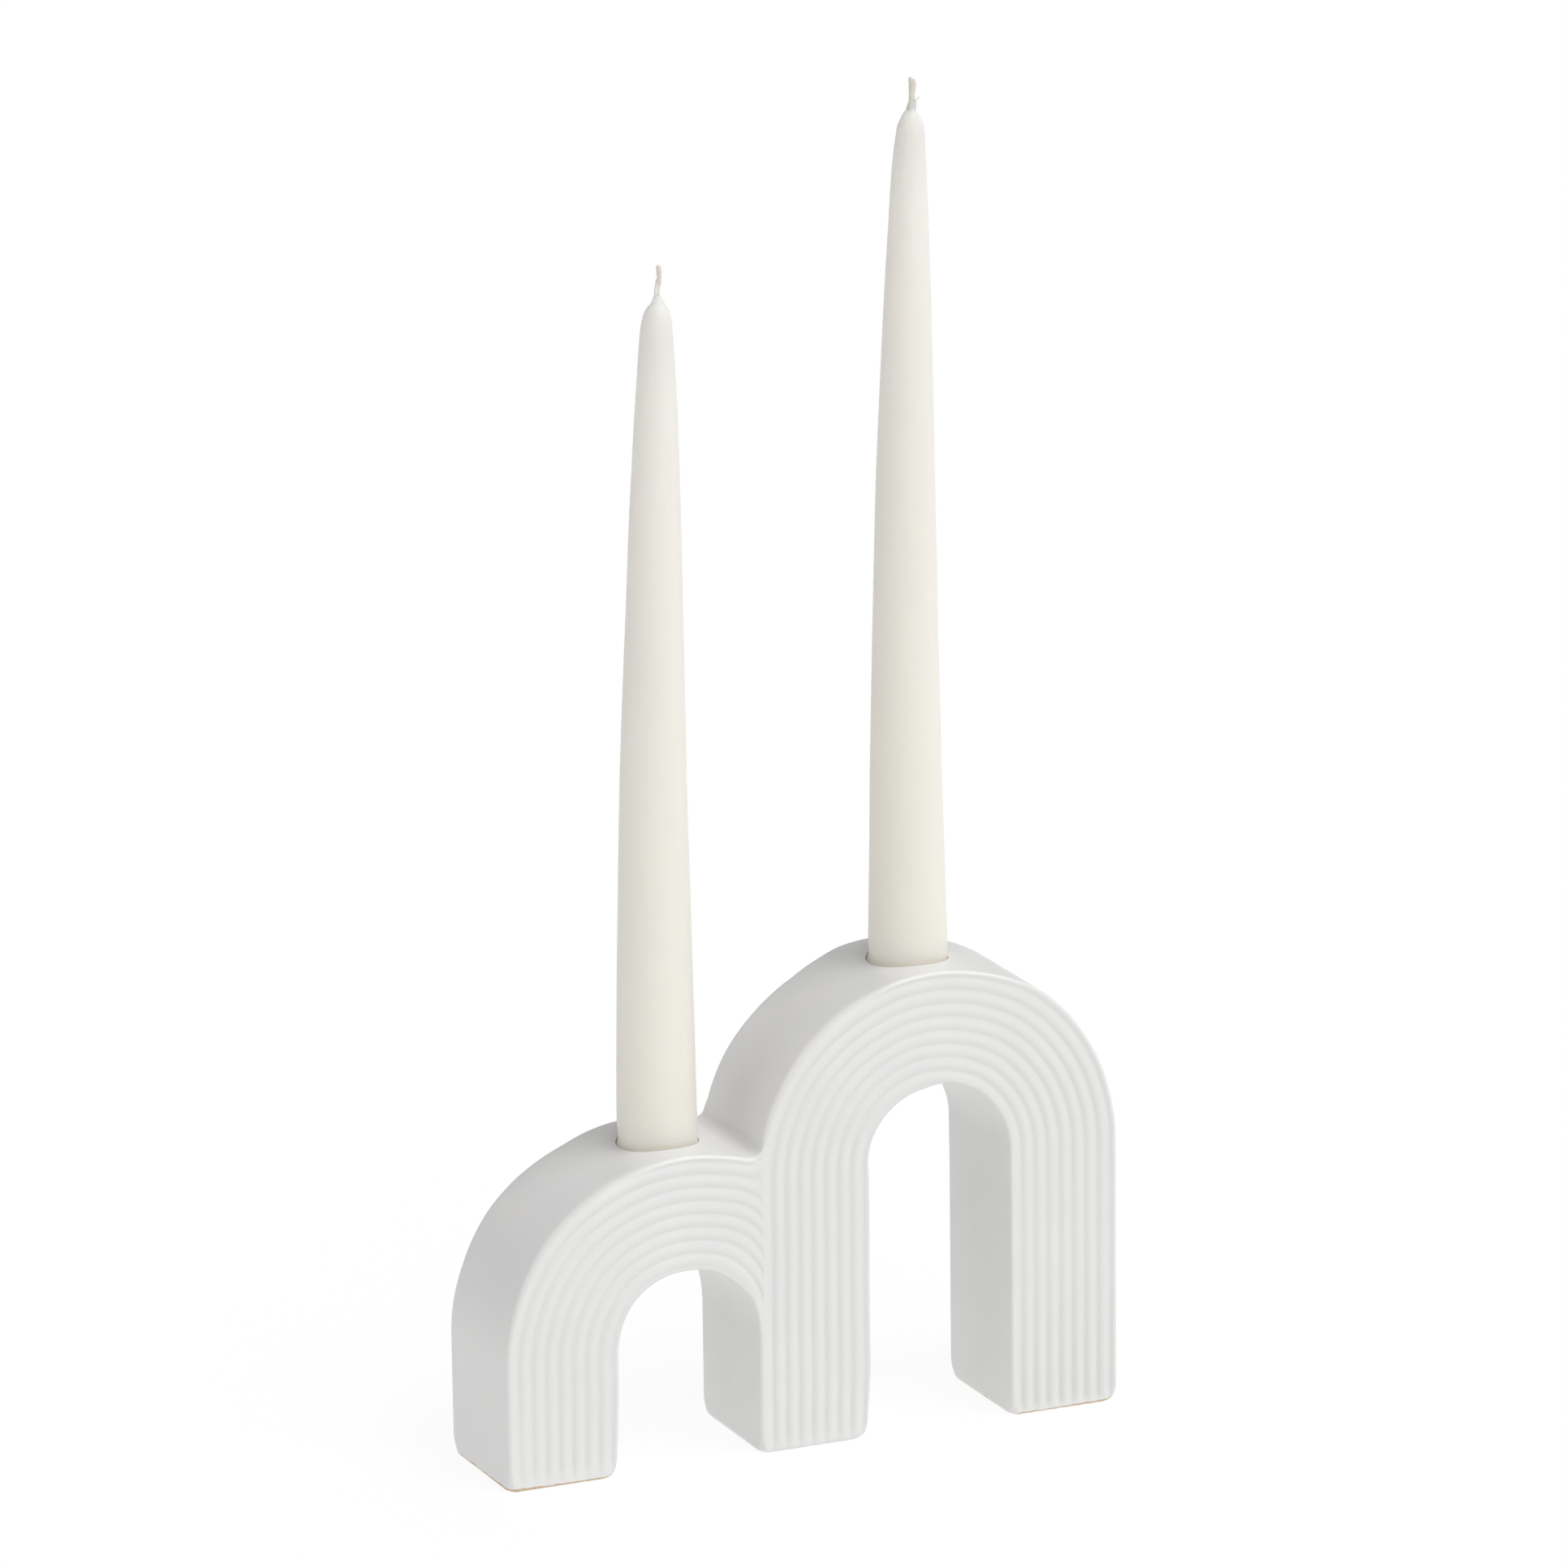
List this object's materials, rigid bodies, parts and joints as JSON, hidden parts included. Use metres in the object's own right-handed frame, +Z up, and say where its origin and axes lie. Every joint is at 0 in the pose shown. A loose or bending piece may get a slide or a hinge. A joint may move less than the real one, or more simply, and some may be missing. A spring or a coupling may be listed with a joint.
{
  "type": "double arch taper candle holder",
  "caption": "Ribbed ceramic candle holder of a small and a tall arch joined at a shared leg, with a dipped taper candle standing in a socket at each crown.",
  "frame": {"origin": "on the table, under the middle of the ceramic body, at the centre of its length and depth", "axes": "+X along the arches from the small one to the tall one, +Y from the front to the back, +Z up"},
  "size_m": [0.178, 0.0384, 0.3623],
  "materials": {
    "glaze": "satin",
    "wax": "satin",
    "wick_cotton": "matte"
  },
  "bodies": {
    "holder": {"holder_body": "glaze"},
    "small_arch_candle": {"small_arch_taper": "wax", "small_arch_wick": "wick_cotton"},
    "tall_arch_candle": {"tall_arch_taper": "wax", "tall_arch_wick": "wick_cotton"}
  },
  "joints": [
    {"name": "small_arch_candle_lift", "type": "slide", "parent": "holder", "child": "small_arch_candle", "axis": [0, 0, 1], "range_m": [0, 0.025]},
    {"name": "tall_arch_candle_lift", "type": "slide", "parent": "holder", "child": "tall_arch_candle", "axis": [0, 0, 1], "range_m": [0, 0.025]}
  ]
}
